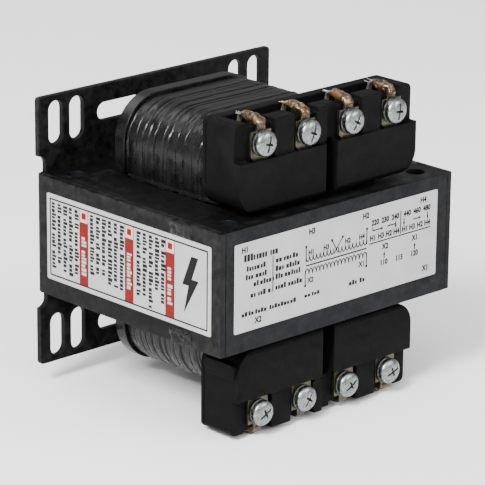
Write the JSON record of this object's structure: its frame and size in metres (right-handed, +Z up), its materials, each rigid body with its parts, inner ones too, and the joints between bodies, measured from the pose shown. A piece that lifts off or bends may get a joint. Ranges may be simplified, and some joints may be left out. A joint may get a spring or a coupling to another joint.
{
  "type": "control transformer",
  "caption": "Open core-and-coil control transformer on a slotted mounting bracket, with screw terminal blocks above and below the lamination stack.",
  "frame": {"origin": "centre of the mounting plate's rear face", "axes": "+Z up, +Y out of the plate's rear face into the panel, +X to the right of someone facing the labelled front"},
  "size_m": [0.0862, 0.0738, 0.088],
  "materials": {
    "bracket_paint": "satin black paint",
    "core_steel": "dark varnished steel laminations",
    "weld_metal": "varnished weld metal",
    "block_plastic": "fine matt moulded black",
    "winding_copper": "enamelled copper wire",
    "layer_paper": "insulating paper",
    "coil_wrap": "glossy varnished black wrap",
    "terminal_tin": "tinned, slightly yellowed by flux",
    "zinc": "bright zinc plate",
    "lead_tin": "tinned twisted wire with amber flux",
    "label_film": "printed matt label"
  },
  "bodies": {
    "frame": {"mounting_bracket": "bracket_paint", "core_e_stack": "core_steel", "core_i_stack": "core_steel", "weld_bead_left_top": "weld_metal", "weld_bead_left_bottom": "weld_metal", "weld_bead_right_top": "weld_metal", "weld_bead_right_bottom": "weld_metal", "winding_tube": "block_plastic", "secondary_winding": "winding_copper", "winding_insulation": "layer_paper", "primary_winding": "winding_copper", "outer_wrap": "coil_wrap", "rear_cheek_top": "coil_wrap", "rear_cheek_bottom": "coil_wrap", "terminal_block_top": "block_plastic", "terminal_block_bottom": "block_plastic", "terminal_plate_top_1": "terminal_tin", "lead_wire_top_1": "lead_tin", "terminal_plate_top_2": "terminal_tin", "lead_wire_top_2": "lead_tin", "terminal_plate_top_3": "terminal_tin", "lead_wire_top_3": "lead_tin", "terminal_plate_top_4": "terminal_tin", "lead_wire_top_4": "lead_tin", "terminal_plate_bottom_1": "terminal_tin", "lead_wire_bottom_1": "lead_tin", "terminal_plate_bottom_2": "terminal_tin", "terminal_plate_bottom_3": "terminal_tin", "terminal_plate_bottom_4": "terminal_tin", "lead_wire_bottom_4": "lead_tin", "front_label": "label_film", "side_label": "label_film"},
    "clamp_top_1": {"wire_clamp_top_1": "zinc"},
    "screw_top_1": {"terminal_screw_top_1": "zinc"},
    "clamp_top_2": {"wire_clamp_top_2": "zinc"},
    "screw_top_2": {"terminal_screw_top_2": "zinc"},
    "clamp_top_3": {"wire_clamp_top_3": "zinc"},
    "screw_top_3": {"terminal_screw_top_3": "zinc"},
    "clamp_top_4": {"wire_clamp_top_4": "zinc"},
    "screw_top_4": {"terminal_screw_top_4": "zinc"},
    "clamp_bottom_1": {"wire_clamp_bottom_1": "zinc"},
    "screw_bottom_1": {"terminal_screw_bottom_1": "zinc"},
    "clamp_bottom_2": {"wire_clamp_bottom_2": "zinc"},
    "screw_bottom_2": {"terminal_screw_bottom_2": "zinc"},
    "clamp_bottom_3": {"wire_clamp_bottom_3": "zinc"},
    "screw_bottom_3": {"terminal_screw_bottom_3": "zinc"},
    "clamp_bottom_4": {"wire_clamp_bottom_4": "zinc"},
    "screw_bottom_4": {"terminal_screw_bottom_4": "zinc"}
  },
  "joints": [
    {"name": "clamp_travel_top_1", "type": "slide", "parent": "frame", "child": "clamp_top_1", "axis": [0, -1, 0], "range_m": [0, 0.00317]},
    {"name": "screw_turn_top_1", "type": "hinge", "parent": "clamp_top_1", "child": "screw_top_1", "pos_m": [-0.024, -0.0693, 0.03645], "axis": [0, -1, 0], "range_deg": [0, 1440]},
    {"name": "clamp_travel_top_2", "type": "slide", "parent": "frame", "child": "clamp_top_2", "axis": [0, -1, 0], "range_m": [0, 0.00317]},
    {"name": "screw_turn_top_2", "type": "hinge", "parent": "clamp_top_2", "child": "screw_top_2", "pos_m": [-0.008, -0.0693, 0.03645], "axis": [0, -1, 0], "range_deg": [0, 1440]},
    {"name": "clamp_travel_top_3", "type": "slide", "parent": "frame", "child": "clamp_top_3", "axis": [0, -1, 0], "range_m": [0, 0.00317]},
    {"name": "screw_turn_top_3", "type": "hinge", "parent": "clamp_top_3", "child": "screw_top_3", "pos_m": [0.008, -0.0693, 0.03645], "axis": [0, -1, 0], "range_deg": [0, 1440]},
    {"name": "clamp_travel_top_4", "type": "slide", "parent": "frame", "child": "clamp_top_4", "axis": [0, -1, 0], "range_m": [0, 0.00317]},
    {"name": "screw_turn_top_4", "type": "hinge", "parent": "clamp_top_4", "child": "screw_top_4", "pos_m": [0.024, -0.0693, 0.03645], "axis": [0, -1, 0], "range_deg": [0, 1440]},
    {"name": "clamp_travel_bottom_1", "type": "slide", "parent": "frame", "child": "clamp_bottom_1", "axis": [0, -1, 0], "range_m": [0, 0.00317]},
    {"name": "screw_turn_bottom_1", "type": "hinge", "parent": "clamp_bottom_1", "child": "screw_bottom_1", "pos_m": [-0.024, -0.0693, -0.03725], "axis": [0, -1, 0], "range_deg": [0, 1440]},
    {"name": "clamp_travel_bottom_2", "type": "slide", "parent": "frame", "child": "clamp_bottom_2", "axis": [0, -1, 0], "range_m": [0, 0.00317]},
    {"name": "screw_turn_bottom_2", "type": "hinge", "parent": "clamp_bottom_2", "child": "screw_bottom_2", "pos_m": [-0.008, -0.0693, -0.03725], "axis": [0, -1, 0], "range_deg": [0, 1440]},
    {"name": "clamp_travel_bottom_3", "type": "slide", "parent": "frame", "child": "clamp_bottom_3", "axis": [0, -1, 0], "range_m": [0, 0.00317]},
    {"name": "screw_turn_bottom_3", "type": "hinge", "parent": "clamp_bottom_3", "child": "screw_bottom_3", "pos_m": [0.008, -0.0693, -0.03725], "axis": [0, -1, 0], "range_deg": [0, 1440]},
    {"name": "clamp_travel_bottom_4", "type": "slide", "parent": "frame", "child": "clamp_bottom_4", "axis": [0, -1, 0], "range_m": [0, 0.00317]},
    {"name": "screw_turn_bottom_4", "type": "hinge", "parent": "clamp_bottom_4", "child": "screw_bottom_4", "pos_m": [0.024, -0.0693, -0.03725], "axis": [0, -1, 0], "range_deg": [0, 1440]}
  ],
  "couplings": [
    {"joint": "screw_turn_top_1", "follows": "clamp_travel_top_1", "rad_per_m": 7915.8},
    {"joint": "screw_turn_top_2", "follows": "clamp_travel_top_2", "rad_per_m": 7915.8},
    {"joint": "screw_turn_top_3", "follows": "clamp_travel_top_3", "rad_per_m": 7915.8},
    {"joint": "screw_turn_top_4", "follows": "clamp_travel_top_4", "rad_per_m": 7915.8},
    {"joint": "screw_turn_bottom_1", "follows": "clamp_travel_bottom_1", "rad_per_m": 7915.8},
    {"joint": "screw_turn_bottom_2", "follows": "clamp_travel_bottom_2", "rad_per_m": 7915.8},
    {"joint": "screw_turn_bottom_3", "follows": "clamp_travel_bottom_3", "rad_per_m": 7915.8},
    {"joint": "screw_turn_bottom_4", "follows": "clamp_travel_bottom_4", "rad_per_m": 7915.8}
  ]
}
